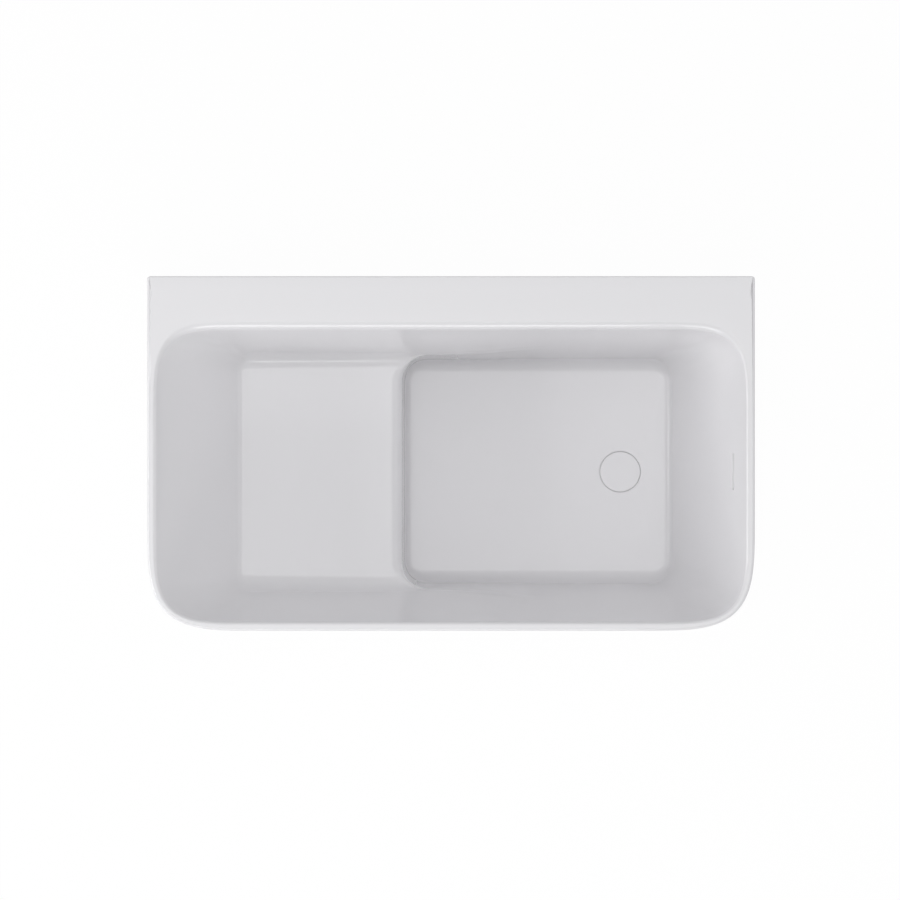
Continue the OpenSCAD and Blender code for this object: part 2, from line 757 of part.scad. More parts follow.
// Body below the floor: takes the tail, the overflow hose at its side and the trap below
module waste_body() {
    outer_d = waste_tail + 12;
    color(plastic)
    difference() {
        union() {
            waste_turn() {
                band(0, waste_hole + 26, body_z - 4, body_z);
                band(0, outer_d, tail_z, body_z);
                band(0, 48, trap_top - 8, tail_z);
            }
            translate([waste_x, waste_y, side_z])
            rotate([0, 90, 0])
            cylinder(h = side_reach, d = hose_bore - 0.2, $fn = round_fn);
        }
        translate([waste_x, waste_y, body_z - 16])
        cylinder(h = 20, d = waste_tail + 0.1, $fn = round_fn);
        translate([waste_x, waste_y, tail_z + 4])
        cylinder(h = body_h, d = waste_tail - 4, $fn = round_fn);
        translate([waste_x, waste_y, trap_top - 10])
        cylinder(h = 20, d = 38, $fn = round_fn);
        translate([waste_x, waste_y, side_z])
        rotate([0, 90, 0])
        cylinder(h = side_reach + 1, d = hose_bore - 6, $fn = round_fn);
    }
}

// Push-to-open cartridge: guide tube, closed below, screwed into the spider
module click_cartridge() {
    color(brass)
    waste_turn() {
        band(0, guide_d, guide_low, guide_low + 4);
        band(stem_d + 0.1, guide_d, guide_low + 4, body_z + 12);
        band(stem_d + 0.1, guide_d + 5, body_z + 12, body_z + 14);
    }
}

// Cover, its stem and the ring that seals it against the flange
cover_z = flange_z + flange_t + 2;
stem_low = guide_low + 14;
module cover_stem() {
    color(brass)
    waste_turn()
    band(0, stem_d, stem_low, cover_z);
}
module drain_cover() {
    r = cover_d / 2;
    top = drain_z + 0.4;
    color(white)
    waste_turn()
    polygon([[0, cover_z], [r - 2, cover_z], [r, cover_z + 1], [r, top - 0.8], [r - 0.8, top],
        [r * 0.6, top + 0.5], [0, top + 0.8]]);
}
module cover_seal() {
    color(black)
    waste_turn()
    band(waste_bore + 6, waste_bore + 12, flange_z + flange_t + 0.3, cover_z);
}

// Spring under the stem
spring_turns = 5;
spring_wire = 0.9;
module cartridge_spring() {
    low = guide_low + 4.1 + spring_wire / 2;
    high = stem_low - 0.1 - spring_wire / 2;
    steps = 12 * spring_turns;
    sides = 6;
    r = (stem_d - 2) / 2 - spring_wire / 2 + 0.5;
    function at(j, i) = 1 + j * sides + (i % sides);
    points = concat(
        [[r, 0, low]],
        [for (j = [0 : steps], i = [0 : sides - 1])
            let(a = 360 * j / 12, b = 360 * i / sides, reach = r + spring_wire / 2 * cos(b))
            [reach * cos(a), reach * sin(a), mix(low, high, j / steps) + spring_wire / 2 * sin(b)]],
        [[r, 0, high]]);
    last = 1 + (steps + 1) * sides;
    color(steel)
    translate([waste_x, waste_y, 0])
    polyhedron(points = points, faces = concat(
        [for (i = [0 : sides - 1]) [0, at(0, i), at(0, i + 1)]],
        [for (j = [0 : steps - 1], i = [0 : sides - 1]) [at(j, i), at(j + 1, i), at(j + 1, i + 1)]],
        [for (j = [0 : steps - 1], i = [0 : sides - 1]) [at(j, i), at(j + 1, i + 1), at(j, i + 1)]],
        [for (i = [0 : sides - 1]) [last, at(steps, i + 1), at(steps, i)]]));
}

// Low trap: a cup that holds the water seal, with a dip tube and a socket towards the wall
trap_d = 100;
outlet_z = trap_low + pipe_d / 2 + 4;
outlet_reach = 118;
module trap_body() {
    wall = 3;
    color(plastic)
    difference() {
        union() {
            waste_turn() {
                band(0, trap_d, trap_low, trap_top - 8);
                band(0, 58, trap_top - 8, trap_top);
            }
            translate([waste_x, waste_y, outlet_z])
            rotate([-90, 0, 0])
            cylinder(h = outlet_reach, d = pipe_d + 8, $fn = round_fn);
        }
        waste_turn() {
            band(48, trap_d - 2 * wall, trap_low + wall, trap_top - 8 - wall);
            band(0, 48.5, trap_low + wall, trap_low + 14);
            band(0, 40, trap_low + 13, trap_top + 1);
        }
        translate([waste_x, waste_y, trap_top - 8])
        cylinder(h = 20, d = 48.2, $fn = round_fn);
        translate([waste_x, waste_y + 36, outlet_z])
        rotate([-90, 0, 0])
        cylinder(h = outlet_reach, d = pipe_d - 4, $fn = round_fn);
        translate([waste_x, waste_y + outlet_reach - 26, outlet_z])
        rotate([-90, 0, 0])
        cylinder(h = 40, d = pipe_d + 0.4, $fn = round_fn);
    }
}
module trap_seal() {
    color(black)
    waste_turn()
    band(48.2, 58, trap_top, tail_z);
}
module trap_nut() {
    color(plastic)
    translate([waste_x, waste_y, trap_top - 7])
    difference() {
        cylinder(h = 14, d = waste_tail + 20, $fn = 12);
        translate([0, 0, -1])
        cylinder(h = 16, d = waste_tail + 12.1, $fn = round_fn);
    }
}

// Nut and seal that grip the waste pipe in the trap's socket
module outlet_axis(reach) {
    translate([waste_x, waste_y + reach, outlet_z])
    rotate([-90, 0, 0])
    children();
}
module outlet_seal() {
    color(black)
    outlet_axis(outlet_reach)
    difference() {
        cylinder(h = 2, d = pipe_d + 8, $fn = round_fn);
        translate([0, 0, -1])
        cylinder(h = 4, d = pipe_d + 0.4, $fn = round_fn);
    }
}
module outlet_nut() {
    color(plastic)
    outlet_axis(outlet_reach - 14)
    difference() {
        cylinder(h = 20, d = pipe_d + 16, $fn = 12);
        translate([0, 0, -1])
        cylinder(h = 17, d = pipe_d + 8.2, $fn = round_fn);
        translate([0, 0, -1])
        cylinder(h = 22, d = pipe_d + 1, $fn = round_fn);
    }
}

// Overflow: gasket and housing behind the slot, and the hose down to the waste
overflow_t = 2;
overflow_w = slot_l + 24;
gasket_reach = 22;
housing_top = slot_z + gasket_reach;
housing_low = slot_z - 50;
spigot_l = 25;
housing_back = apron_x(apron_inset(slot_z)) - apron_t - 3;
function back_x(z) = end_x(z) + shell_t;
module across_bath(width) {
    translate([0, waste_y + width / 2, 0])
    rotate([90, 0, 0])
    linear_extrude(width)
    children();
}
module overflow_gasket() {
    low = slot_z - gasket_reach;
    color(black)
    difference() {
        across_bath(overflow_w)
        polygon([[back_x(low), low], [back_x(low) + overflow_t, low],
            [back_x(housing_top) + overflow_t, housing_top], [back_x(housing_top), housing_top]]);
        translate([end_x(slot_z), waste_y, slot_z])
        slot_bar(slot_l + 6, slot_h + 6, shell_t + overflow_t + 12);
    }
}
spigot_x = (back_x(housing_low) + overflow_t + housing_back) / 2;
spigot_low = housing_low - spigot_l;
module overflow_housing() {
    wall = 3;
    function front(z) = back_x(z) + overflow_t;
    color(plastic)
    difference() {
        union() {
            across_bath(overflow_w)
            polygon([[front(housing_low), housing_low], [front(housing_top), housing_top],
                [housing_back, housing_top], [housing_back, housing_low]]);
            translate([spigot_x, waste_y, spigot_low])
            cylinder(h = spigot_l + 1, d = hose_bore - 0.2, $fn = round_fn);
        }
        across_bath(overflow_w - 2 * wall)
        polygon([[front(housing_low + wall) + wall, housing_low + wall],
            [front(housing_top - wall) + wall, housing_top - wall],
            [housing_back - wall, housing_top - wall], [housing_back - wall, housing_low + wall]]);
        translate([spigot_x, waste_y, spigot_low - 1])
        cylinder(h = spigot_l + 7, d = hose_bore - 6, $fn = round_fn);
        translate([end_x(slot_z), waste_y, slot_z])
        slot_bar(slot_l + 6, slot_h + 6, shell_t + overflow_t + wall + 4);
    }
}

// The hose leaves the housing downwards and meets the body's side tube along X
hose_sides = 12;
hose_steps = 12;
hose_over = 20;
hose_end = waste_x + side_reach;
hose_drop = 230;
hose_run = 90;
function bezier(a, b, c, d, s) =
    pow(1 - s, 3) * a + 3 * pow(1 - s, 2) * s * b + 3 * (1 - s) * s * s * c + pow(s, 3) * d;
hose_line = concat(
    [[spigot_x, spigot_low + hose_over]],
    [for (k = [0 : hose_steps]) bezier([spigot_x, spigot_low], [spigot_x, spigot_low - hose_drop],
        [hose_end + hose_run, side_z], [hose_end, side_z], k / hose_steps)],
    [[hose_end - hose_over, side_z]]);
module overflow_hose() {
    last = len(hose_line) - 1;
    function heading(j) =
        let(v = hose_line[min(j + 1, last)] - hose_line[max(j - 1, 0)]) v / norm(v);
    function loop(j, r) = [for (i = [0 : hose_sides - 1])
        let(a = 360 * (i + 0.5) / hose_sides, h = heading(j), p = hose_line[j])
        [p.x + h.y * r * cos(a), waste_y + r * sin(a), p.y - h.x * r * cos(a)]];
    bore_r = hose_bore / 2 / cos(180 / hose_sides);
    rings = concat([for (j = [0 : last]) loop(j, hose_d / 2)],
        [for (j = [last : -1 : 0]) loop(j, bore_r)]);
    count = len(rings);
    function at(j, i) = (j % count) * hose_sides + (i % hose_sides);
    color(plastic)
    polyhedron(
        points = [for (r = rings, p = r) p],
        faces = concat(
            [for (j = [0 : count - 1], i = [0 : hose_sides - 1])
                [at(j, i), at(j + 1, i), at(j + 1, i + 1)]],
            [for (j = [0 : count - 1], i = [0 : hose_sides - 1])
                [at(j, i), at(j + 1, i + 1), at(j, i + 1)]]));
}
module hose_clamp() {
    difference() {
        cylinder(h = 9, d = hose_d + 3, $fn = round_fn);
        translate([0, 0, -1])
        cylinder(h = 11, d = hose_d + 0.1, $fn = round_fn);
    }
}
module hose_clamps() {
    color(steel) {
        translate([spigot_x, waste_y, spigot_low + 6])
        hose_clamp();
        translate([hose_end - 15, waste_y, side_z])
        rotate([0, 90, 0])
        hose_clamp();
    }
}

basin();
apron();
base_board();
seat_board();
seat_posts();
frame_rails();
cross_bars();
deck_batten();
wall_clips();
wall_spacers();
clip_screws();
apron_brackets();
frame_nuts();
lock_nuts();
waste_flange();
flange_seal();
body_gasket();
waste_body();
click_cartridge();
cartridge_spring();
cover_stem();
drain_cover();
cover_seal();
trap_nut();
trap_seal();
trap_body();
outlet_nut();
outlet_seal();
overflow_gasket();
overflow_housing();
overflow_hose();
hose_clamps();
for (i = [0 : len(feet) - 1]) {
    foot_stem(feet[i]);
    foot_pad(feet[i]);
}
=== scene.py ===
# %% [markdown]
# A compact deep soaking bath, seen from straight above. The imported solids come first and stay
# where they are. The moulded shell, the apron and the cover over the waste are built again here
# as smooth surfaces, and every other node keeps its solid and gets a better finish.

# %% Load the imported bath
import bpy
import bmesh
import json
import math
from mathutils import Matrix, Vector


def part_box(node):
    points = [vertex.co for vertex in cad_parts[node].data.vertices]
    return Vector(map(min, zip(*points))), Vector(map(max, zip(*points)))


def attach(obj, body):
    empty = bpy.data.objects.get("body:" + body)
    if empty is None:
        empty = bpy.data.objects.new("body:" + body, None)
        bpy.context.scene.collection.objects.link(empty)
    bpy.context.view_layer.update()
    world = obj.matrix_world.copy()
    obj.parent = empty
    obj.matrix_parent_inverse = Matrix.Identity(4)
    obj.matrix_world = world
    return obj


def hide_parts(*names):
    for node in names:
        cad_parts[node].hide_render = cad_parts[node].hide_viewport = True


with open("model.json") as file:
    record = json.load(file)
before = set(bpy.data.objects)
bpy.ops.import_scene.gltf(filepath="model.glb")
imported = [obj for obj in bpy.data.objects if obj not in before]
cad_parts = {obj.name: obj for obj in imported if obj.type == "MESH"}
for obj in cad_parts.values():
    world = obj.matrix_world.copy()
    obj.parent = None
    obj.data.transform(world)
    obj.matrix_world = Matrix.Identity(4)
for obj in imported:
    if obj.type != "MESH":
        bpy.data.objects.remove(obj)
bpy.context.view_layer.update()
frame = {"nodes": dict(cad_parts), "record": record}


MM = 0.001


# %% [markdown]
# Every new piece goes the same way: a bmesh is filled, its doubles are merged and its faces
# turned outwards, and then it becomes an object at the origin that rides on a body. Edges
# sharper than 35 degrees stay crisp, and all others are shaded smooth.

# %% From a bmesh to a piece
CRISP = math.radians(35)
SAME_PLACE = 0.001 * MM


def mark_crisp_edges(mesh, middle=(0, 0, 0), reach=10):
    """Keeps sharp edges crisp on a mesh, or only within reach (m) of a place on it."""
    bm = bmesh.new()
    bm.from_mesh(mesh)
    for edge in bm.edges:
        if (edge.verts[0].co - Vector(middle)).length < reach:
            edge.smooth = len(edge.link_faces) == 2 and edge.calc_face_angle(0) < CRISP
    bm.to_mesh(mesh)
    bm.free()


def finish_piece(bm, name, body, node, finish):
    """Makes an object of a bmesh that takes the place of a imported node."""
    bmesh.ops.remove_doubles(bm, verts=bm.verts, dist=SAME_PLACE)
    bmesh.ops.recalc_face_normals(bm, faces=bm.faces)
    for face in bm.faces:
        face.smooth = True
    mesh = bpy.data.meshes.new(name)
    bm.to_mesh(mesh)
    bm.free()
    mark_crisp_edges(mesh)
    piece = bpy.data.objects.new(name, mesh)
    bpy.context.scene.collection.objects.link(piece)
    mesh.materials.append(finish)
    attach(piece, body)
    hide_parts(node)
    print(name, len(mesh.polygons), "faces")
    return piece


# %% [markdown]
# The inside of a bath is a stack of closed rings: the outer edge, the rim, the walls, the cove
# round the seat, the front edge of the seat, the floor and the sump of the waste. A ring is drawn
# once, and the next one is an extrusion of it whose points are then moved to their new places,
# so each point of a ring is joined to the same point of the next. A subdivided cage would be
# quicker to model, but it pulls the walls away from the places that were measured.

# %% Extrude one ring into the next
def skin(bm, rings):
    """Joins closed rings with the same number of points by extruding one into the next."""
    ring = [bm.verts.new(p) for p in rings[0]]
    edges = [bm.edges.new((a, b)) for a, b in zip(ring, ring[1:] + ring[:1])]
    for places in rings[1:]:
        made = bmesh.ops.extrude_edge_only(bm, edges=edges)["geom"]
        fresh = {g for g in made if isinstance(g, bmesh.types.BMVert)}
        ring = [next(e.other_vert(v) for e in v.link_edges if e.other_vert(v) in fresh)
                for v in ring]
        for vert, spot in zip(ring, places):
            vert.co = spot
        edges = [bm.edges.get((a, b)) for a, b in zip(ring, ring[1:] + ring[:1])]


def mix(a, b, s):
    """A number between two others."""
    return a + (b - a) * s


def between(first, last, count):
    """Rings that lie evenly between two rings."""
    return [[p.lerp(q, k / (count + 1)) for p, q in zip(first, last)] for k in range(1, count + 1)]


# %% [markdown]
# These are the bath's own measures, in millimetres as a maker would write them. The sizes that
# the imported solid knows, its length, width and height, are read from it.

# %% Measures of the bath
low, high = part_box("basin")
LENGTH, WIDTH, RIM_Z = (high[0] - low[0]) / MM, (high[1] - low[1]) / MM, high[2] / MM
SHELL, LIP, LIP_Z = 6.0, 4.0, RIM_Z - 35.0
SEAT_DEPTH, BATH_DEPTH = 300.0, 510.0
SEAT_Z, FLOOR_Z = RIM_Z - SEAT_DEPTH, RIM_Z - BATH_DEPTH
SEAT_SHARE = SEAT_DEPTH / BATH_DEPTH
FLOOR_FALL, SEAT_FALL = 5.0, 3.0
RIM_SIDE, RIM_FRONT, DECK = 16, 16.5, 103
OPEN = {"left": -LENGTH / 2 + RIM_SIDE, "right": LENGTH / 2 - RIM_SIDE,
        "front": -WIDTH / 2 + RIM_FRONT, "back": WIDTH / 2 - DECK}
OUTER = {"left": -LENGTH / 2, "right": LENGTH / 2, "front": -WIDTH / 2, "back": WIDTH / 2}
RISER_X, SEAT_EDGE, SEAT_FILLET = -97.0, 22.0, 8.0
FILLET_ENDS, FILLET_SIDES = 13.0, 24.0

# How far the walls lean in from the opening: to the footwell's floor, and to the seat
WELL = {"left": RISER_X + 6, "right": OPEN["right"] - 150,
        "front": OPEN["front"] + 80, "back": OPEN["back"] - 62}
SEAT = {"left": OPEN["left"] + 174 - SEAT_FILLET, "right": WELL["right"],
        "front": OPEN["front"] + 66, "back": OPEN["back"] - 52}
COVE_REAR, COVE_FRONT = 30.0, 26.0

# Corner sizes: back left, back right, front right, front left
OPEN_CORNERS, OUTER_CORNERS = [172, 172, 188, 188], [6, 6, 233, 233]
SEAT_CORNERS = [COVE_REAR + 6, 1, 1, COVE_REAR + 6]
WELL_CORNER = 45
ARC_END = RISER_X + 60

WASTE = (334.0, -36.0)
COVER_D, SUMP_D, HOLE_D, BOSS_D = 80.0, 80.8, 54.0, 108.4
DRAIN_Z = FLOOR_Z - FLOOR_FALL
SLOT_Z, SLOT_L, SLOT_H = RIM_Z - 92.0, 73.0, 8.0
print("seat at", SEAT_Z, "floor at", FLOOR_Z)


# %% [markdown]
# A corner of a bath is squarer than a circle. Two powers of the sine and cosine draw it: with a
# power of 2 it is a circle, and with 4 it has flatter sides and a tighter middle. A bevel could
# only make round corners, and every ring would need its own.

# %% Rounded corners and their directions
def smooth_steps(values, steps):
    """A smooth curve through values, with steps points from each to the next, ends left out."""
    points = []
    for i in range(len(values) - 1):
        a, b = values[i], values[i + 1]
        left = (b - values[i - 1]) / 2 if i else b - a
        right = (values[i + 2] - a) / 2 if i + 2 < len(values) else b - a
        for k in range(1, steps + 1):
            t = k / steps
            points.append((2 * t ** 3 - 3 * t * t + 1) * a + (t ** 3 - 2 * t * t + t) * left
                          + (3 * t * t - 2 * t ** 3) * b + (t ** 3 - t * t) * right)
    return points[:-1]


# Steps between two stops, and the stops: before and after the end of the footwell's corner, round
# that corner as shares of its turn, and along the two ends
FINE = 4
CORNER = 10 * FINE
FADE = [-290, -150, -80, -66, -54, -44, -34, -22, -10, 0]
PLAIN = [80, 200, 315]
TURN_START = 0.04
TURNED = [TURN_START, 0.06, 0.08, 0.11, 0.22, 0.39, 0.53, 0.66, 0.78, 0.89, 1]
ACROSS = [-108, -90, -72, -54, -36, -18, 4, 28, 54]
ARC = CORNER + len(FADE) * FINE
EVEN = [k / CORNER for k in range(CORNER + 1)]
WELL_TURN = ([0] + smooth_steps([0, TURN_START], CORNER) + [TURN_START]
             + smooth_steps(TURNED, FINE))


def corner(x, y, side, size, power, shares):
    """Points of a corner, from its end side towards its long side."""
    points = []
    for share in shares:
        c, s = math.cos(math.pi / 2 * share), math.sin(math.pi / 2 * share)
        if share == 1:
            c = 0.0
        points.append((x - side[0] * size * (1 - c ** (2 / power)),
                       y - side[1] * size * (1 - s ** (2 / power))))
    return points


def turn(side, power, shares):
    """Directions square to such a corner, pointing away from the water."""
    out = []
    for share in shares:
        c, s = math.cos(math.pi / 2 * share), math.sin(math.pi / 2 * share)
        reach = 2 * (power - 1) / power
        v = Vector((side[0] * (0.0 if share == 1 else c ** reach), side[1] * s ** reach))
        out.append(tuple(v.normalized()))
    return out


print("a corner has", len(EVEN), "points, and the footwell's left corners", len(WELL_TURN))


# %% [markdown]
# Along the two long walls the points are set closer where the cove beside the seat dies out.
# The steps in the list are joined by a smooth curve, so that no crease shows in the gloss.

# %% Places along a long wall
def beside_seat(start):
    """Places from the end of the rear corner, at start, to the end of the footwell's corner."""
    return smooth_steps([start - ARC_END] + FADE, FINE)


def beside_well(end):
    """Places from there to the corner at the drain end, which starts at end."""
    stops = [0] + PLAIN + [end - ARC_END]
    return [mix(a, b, k / FINE) for a, b in zip(stops, stops[1:]) for k in range(FINE)]


print("a long wall has", len(beside_seat(0)) + len(beside_well(0)), "points")


# %% [markdown]
# Every outline has the same number of points in the same order: it starts at the rear end of the
# back wall and goes round by the drain end and the front. So any two of them can be joined point
# by point, and a wall that leans is a straight line between two outlines.

# %% Closed outlines of the bath
def outline(sides, sizes, powers):
    """An outline whose four corners have their own size and power: back, then front."""
    left, right, front, back = (sides[k] for k in ("left", "right", "front", "back"))

    def along(y, size_left, size_right):
        places = beside_seat(left + size_left) + beside_well(right - size_right)
        return [(ARC_END + x, y) for x in places]

    return (corner(left, back, (-1, 1), sizes[0], powers[0], EVEN)
            + along(back, sizes[0], sizes[1])
            + corner(right, back, (1, 1), sizes[1], powers[1], EVEN)[::-1]
            + [(right, y) for y in ACROSS[::-1]]
            + corner(right, front, (1, -1), sizes[2], powers[2], EVEN)
            + along(front, sizes[3], sizes[2])[::-1]
            + corner(left, front, (-1, -1), sizes[3], powers[3], EVEN)[::-1]
            + [(left, y) for y in ACROSS])


def well_outline(sides, left_power, right_size):
    """The footwell: its left corners also hold the points that lie beside the seat above."""
    left, right, front, back = (sides[k] for k in ("left", "right", "front", "back"))
    reach = ARC_END - left
    wall = [ARC_END + x for x in beside_well(right - right_size)]
    return (corner(left, back, (-1, 1), reach, left_power, WELL_TURN)
            + [(x, back) for x in wall]
            + corner(right, back, (1, 1), right_size, 2, EVEN)[::-1]
            + [(right, y) for y in ACROSS[::-1]]
            + corner(right, front, (1, -1), right_size, 2, EVEN)
            + [(x, front) for x in wall[::-1]]
            + corner(left, front, (-1, -1), reach, left_power, WELL_TURN)[::-1]
            + [(left, y) for y in ACROSS])


def directions(back_power, front_power):
    """Directions away from the water for a whole outline."""
    count = len(beside_seat(0)) + len(beside_well(0))
    return (turn((-1, 1), back_power, EVEN) + [(0, 1)] * count
            + turn((1, 1), back_power, EVEN)[::-1] + [(1, 0)] * len(ACROSS)
            + turn((1, -1), front_power, EVEN) + [(0, -1)] * count
            + turn((-1, -1), front_power, EVEN)[::-1] + [(-1, 0)] * len(ACROSS))


opening = outline(OPEN, OPEN_CORNERS, [4, 4, 4, 4])
outer = outline(OUTER, OUTER_CORNERS, [2, 2, 4, 4])
well_floor = well_outline(WELL, 2.7, WELL_CORNER)
well_seat = well_outline({**SEAT, "left": RISER_X}, 2.3, WELL_CORNER)
upper_seat = outline(SEAT, SEAT_CORNERS, [2, 2, 2, 2])
opening_out, outer_out, upper_out = directions(4, 4), directions(2, 4), directions(2, 2)
plain_steps = len(beside_well(0))
well_out = (turn((-1, 1), 2, WELL_TURN) + [(0, 1)] * plain_steps
            + turn((1, 1), 2, EVEN)[::-1] + [(1, 0)] * len(ACROSS)
            + turn((1, -1), 2, EVEN) + [(0, -1)] * plain_steps
            + turn((-1, -1), 2, WELL_TURN)[::-1] + [(-1, 0)] * len(ACROSS))
COUNT = len(opening)
print(COUNT, "points in a ring;", len(well_floor), len(outer), len(well_out), len(opening_out))


# %% [markdown]
# Three things change from point to point round a ring: how high the cove between seat and wall
# stands, how much of it there is, and how far the seat has risen towards the backrest. The cove
# is full beside the seat and fades to nothing over a few centimetres where the footwell starts.

# %% The cove and the rise of the seat
def ease(s):
    """A soft step from 0 to 1."""
    return 0.0 if s <= 0 else 1.0 if s >= 1 else (1 - math.cos(math.pi * s)) / 2


def by_place(at_rear, beside, past):
    """A value for every point: at the rear end, along the seat as a function of x, and past it."""
    rear = SEAT["left"] + SEAT_CORNERS[0]
    start = beside(rear)
    seat_part = [beside(ARC_END + x) for x in beside_seat(rear)]
    turned = [mix(at_rear, start, ease(k / CORNER)) for k in range(CORNER + 1)]
    half = turned + seat_part + [past] * (plain_steps + CORNER + 1)
    return half + [past] * len(ACROSS) + half[::-1] + [at_rear] * len(ACROSS)


def cove_size(x):
    """Height of the cove, which grows a little towards the rear."""
    return mix(COVE_FRONT, COVE_REAR, min(1, max(0, (RISER_X - x) / (RISER_X - SEAT["left"]))))


def cove_left(x):
    """How much of the cove is left: all of it until 7 mm before the riser, none 33 mm after."""
    return 1 - ease((x - RISER_X + 7) / 40)


def seat_rise_at(x):
    """Rise of the seat's surface towards the backrest."""
    edge = RISER_X - SEAT_EDGE
    return SEAT_FALL * max(0, (edge - x) / (edge - SEAT["left"]))


cove_height = by_place(SEAT_FILLET, cove_size, COVE_FRONT)
cove_share = by_place(1, cove_left, 0)
seat_rise = by_place(SEAT_FALL, seat_rise_at, 0)
in_seat = [1] * ARC + [0] * (COUNT - 2 * ARC - len(ACROSS)) + [1] * (ARC + len(ACROSS))
print("cove:", min(cove_height), "to", max(cove_height), "mm high")


# %% [markdown]
# Where there is a seat, the walls run from the opening to the seat and the footwell starts
# below it. Everywhere else the walls run on from the opening down to the floor. Next to the seat
# they stand as far in as they do above it, which fades towards the drain and bows them a little.

# %% Walls above and below the seat
LEAN_FADE, BOW_START = 260, 120


def lerp2(a, b, s):
    """A place between two places of a plan."""
    return (mix(a[0], b[0], s), mix(a[1], b[1], s))


def shift(p, out, reach):
    """A place moved along a direction."""
    return (p[0] + out[0] * reach, p[1] + out[1] * reach)


def extra_lean(a, b):
    """How much further in a long wall stands at the seat's height than a straight wall would."""
    x, y = lerp2(a, b, SEAT_SHARE)
    side = "back" if y > 0 else "front"
    edge = mix(OPEN[side], WELL[side], SEAT_SHARE)
    return (SEAT[side] - edge) * (1 - ease((x - ARC_END) / LEAN_FADE)) * (y / edge) ** 3


lean = [extra_lean(a, b) for a, b in zip(opening, well_floor)]
straight_on = [shift(lerp2(a, b, SEAT_SHARE), (0, 1), y)
               for a, b, y in zip(opening, well_floor, lean)]
bow = [y * ease((p[0] - ARC_END) / BOW_START) for p, y in zip(opening, lean)]
well_top = [w if s else t for w, t, s in zip(well_seat, straight_on, in_seat)]
upper_seat = [u if s else t for u, t, s in zip(upper_seat, straight_on, in_seat)]
print("the walls lean in", round(max(lean)), "mm more at the front and",
      round(-min(lean)), "mm more at the back")

# %% [markdown]
# The seat is flat up to its front edge, which is rounded into the footwell. Round the footwell's
# two left corners the edge gets thinner, because the cove's foot comes closer to the wall below.
# So the edge reaches from the wall towards the flat, but never further than its own size.

# %% The flat of the seat and its front edge
flat_corners = outline({"left": SEAT["left"] + SEAT_FILLET, "right": WELL["right"],
                        "front": SEAT["front"] + COVE_REAR, "back": SEAT["back"] - COVE_REAR},
                       [6, 1, 1, 6], [2, 2, 2, 2])
seat_flat = []
for i in range(COUNT):
    at_rear = i <= CORNER or i >= COUNT - CORNER - 1 - len(ACROSS)
    beside = shift(upper_seat[i], upper_out[i], -cove_height[i] * cove_share[i])
    seat_flat.append(flat_corners[i] if at_rear else beside)
edge_way = []
for flat, top in zip(seat_flat, well_top):
    gap = Vector(flat) - Vector(top)
    edge_way.append(gap * (SEAT_EDGE / gap.length) if gap.length > SEAT_EDGE else gap)
print("the seat's front edge reaches", round(max(way.length for way in edge_way), 1), "mm at most")


def place(p, z, out, rise=0.0, thick=0.0):
    """A point in metres, set back into the wall by a thickness where one is given."""
    flat = thick * math.cos(rise)
    return Vector((p[0] + out[0] * flat, p[1] + out[1] * flat, z - thick * math.sin(rise))) * MM


def upper_wall(i, z):
    """The place of a point of the wall above the seat's height."""
    s = (RIM_Z - z) / (RIM_Z - SEAT_Z)
    return shift(lerp2(opening[i], upper_seat[i], s), (0, 1), bow[i] * s * (1 - s))


def well_wall(i, z):
    """The place of a point of the wall below the seat's height."""
    s = (SEAT_Z - z) / (SEAT_Z - FLOOR_Z)
    return shift(lerp2(well_top[i], well_floor[i], s), (0, 1), bow[i] * s * (1 - s))


# %% [markdown]
# Each rounded edge is ten rings on a quarter turn, so a ring is written as a function of the
# angle a. With a thickness, the same function gives the underside. The rim is rounder on its
# water side, most of all along the deck, and tighter where the deck meets the wall.

# %% Rounded edges as rings
ROUND = [math.pi / 2 * k / 9 for k in range(10)]
RIM_ROUND, DECK_INNER, DECK_OUTER = 5, 14, 2
inner_edge = [mix(RIM_ROUND, DECK_INNER, n[1] ** 2 if n[1] > 0 else 0) for n in opening_out]
outer_edge = [mix(RIM_ROUND, DECK_OUTER, n[1] ** 2 if n[1] > 0 else 0) for n in outer_out]


def outer_ring(inset, z):
    """A ring of the outer edge, drawn in by an inset."""
    return [place(shift(outer[i], outer_out[i], -inset), z, (0, 0)) for i in range(COUNT)]


def rim_outer_ring(a):
    """A ring of the rim's rounded outer edge."""
    return [place(shift(outer[i], outer_out[i], -outer_edge[i] * (1 - math.sin(a))),
                  RIM_Z - outer_edge[i] * (1 - math.cos(a)), (0, 0)) for i in range(COUNT)]


def rim_inner_ring(a):
    """A ring of the rim's rounded edge towards the water."""
    ring = []
    for i in range(COUNT):
        z = RIM_Z - inner_edge[i] * (1 - math.cos(a))
        p = shift(upper_wall(i, z), opening_out[i], inner_edge[i] * (1 - math.sin(a)))
        ring.append(place(p, z, (0, 0)))
    return ring


def cove_ring(a, thick=0.0):
    """A ring of the cove between the walls and the seat."""
    ring = []
    for i in range(COUNT):
        z = SEAT_Z + seat_rise[i] + cove_height[i] * (1 - math.sin(a))
        p = upper_wall(i, z)
        p = (p[0] + (seat_flat[i][0] - upper_seat[i][0]) * (1 - math.cos(a)),
             p[1] + (seat_flat[i][1] - upper_seat[i][1]) * (1 - math.cos(a)))
        ring.append(place(p, z, upper_out[i], a * cove_share[i], thick))
    return ring


def edge_ring(a, thick=0.0):
    """A ring of the seat's rounded front edge."""
    ring = []
    for i in range(COUNT):
        z = SEAT_Z - SEAT_EDGE * (1 - math.cos(a))
        p = shift(well_wall(i, z), edge_way[i], 1 - math.sin(a))
        out = lerp2(upper_out[i], well_out[i], math.sin(a))
        ring.append(place(p, z, out, (math.pi / 2 - a) * cove_share[i], thick))
    return ring


